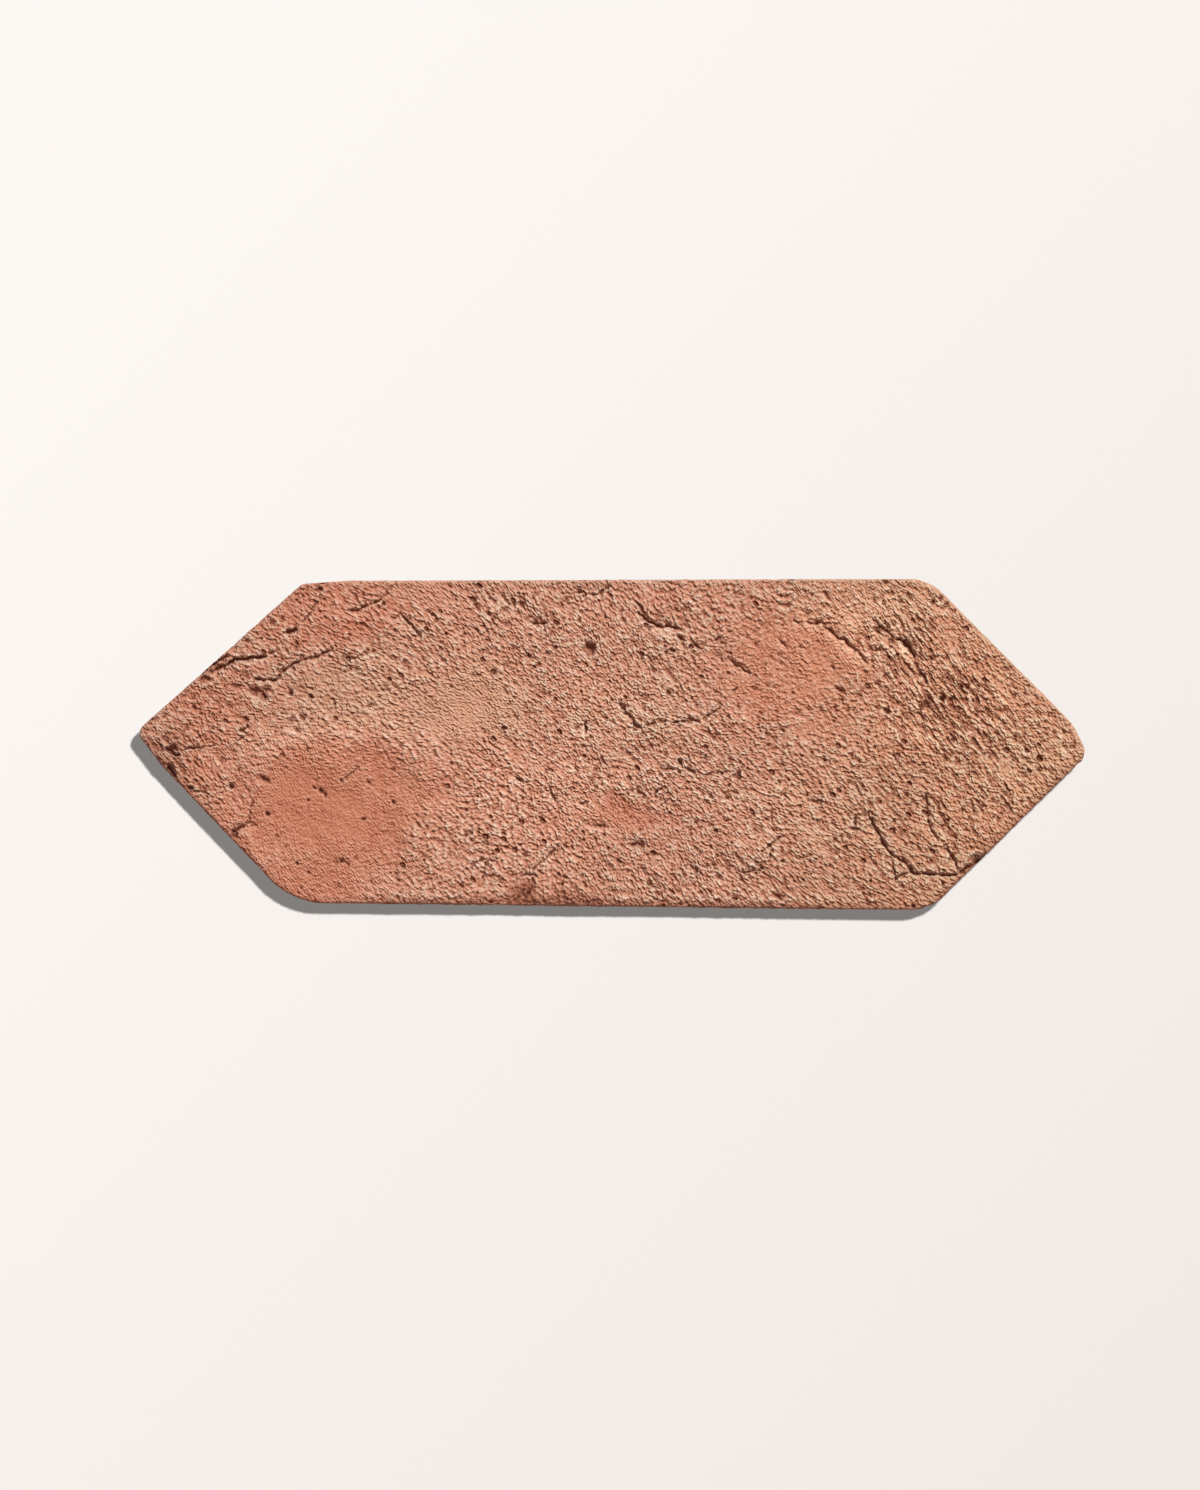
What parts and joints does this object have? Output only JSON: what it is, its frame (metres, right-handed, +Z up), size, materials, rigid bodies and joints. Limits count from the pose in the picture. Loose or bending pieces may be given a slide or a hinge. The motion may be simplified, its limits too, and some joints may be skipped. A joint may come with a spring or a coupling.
{
  "type": "terracotta floor tile",
  "caption": "Handmade terracotta floor tile, a long hexagon with a square point at each end, worn edges and a rough, cracked walking face.",
  "frame": {"origin": "middle of the flat underside, halfway along and across the tile", "axes": "+X along the tile towards the more rounded point, +Y across it, +Z up out of the walking face"},
  "size_m": [0.2959, 0.1034, 0.016],
  "materials": {
    "terracotta": "matt, unglazed, rough"
  },
  "bodies": {
    "root": {"terracotta_tile": "terracotta"}
  },
  "joints": []
}
